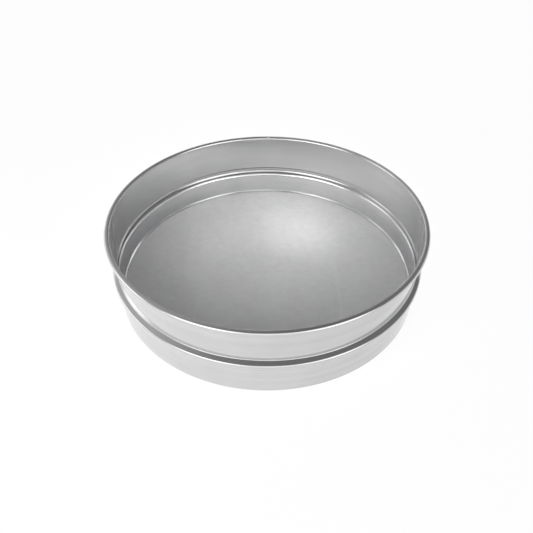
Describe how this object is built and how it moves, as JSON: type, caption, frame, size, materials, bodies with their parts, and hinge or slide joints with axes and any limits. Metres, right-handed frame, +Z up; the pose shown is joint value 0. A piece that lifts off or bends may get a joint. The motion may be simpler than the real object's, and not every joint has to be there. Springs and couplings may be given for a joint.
{
  "type": "sieve",
  "caption": "Round stainless-steel kitchen sieve with a rolled rim, a pressed-out shoulder and fine wire cloth clamped just above the foot.",
  "frame": {"origin": "centre of the circle that the foot stands on", "axes": "+Z up along the sieve's axis, from the foot to the rim; X and Y lie in the table's plane"},
  "size_m": [0.3, 0.3, 0.0761],
  "materials": {
    "wall_steel": "bright satin stainless sheet with a polished rim",
    "ring_steel": "bright satin stainless strip",
    "cloth_steel": "fine plain-woven stainless wire cloth",
    "wire_steel": "drawn steel wire"
  },
  "bodies": {
    "root": {"frame_wall": "wall_steel", "rim_wire": "wire_steel", "retaining_ring": "ring_steel", "support_ring": "ring_steel", "mesh_cloth": "cloth_steel"}
  },
  "joints": []
}
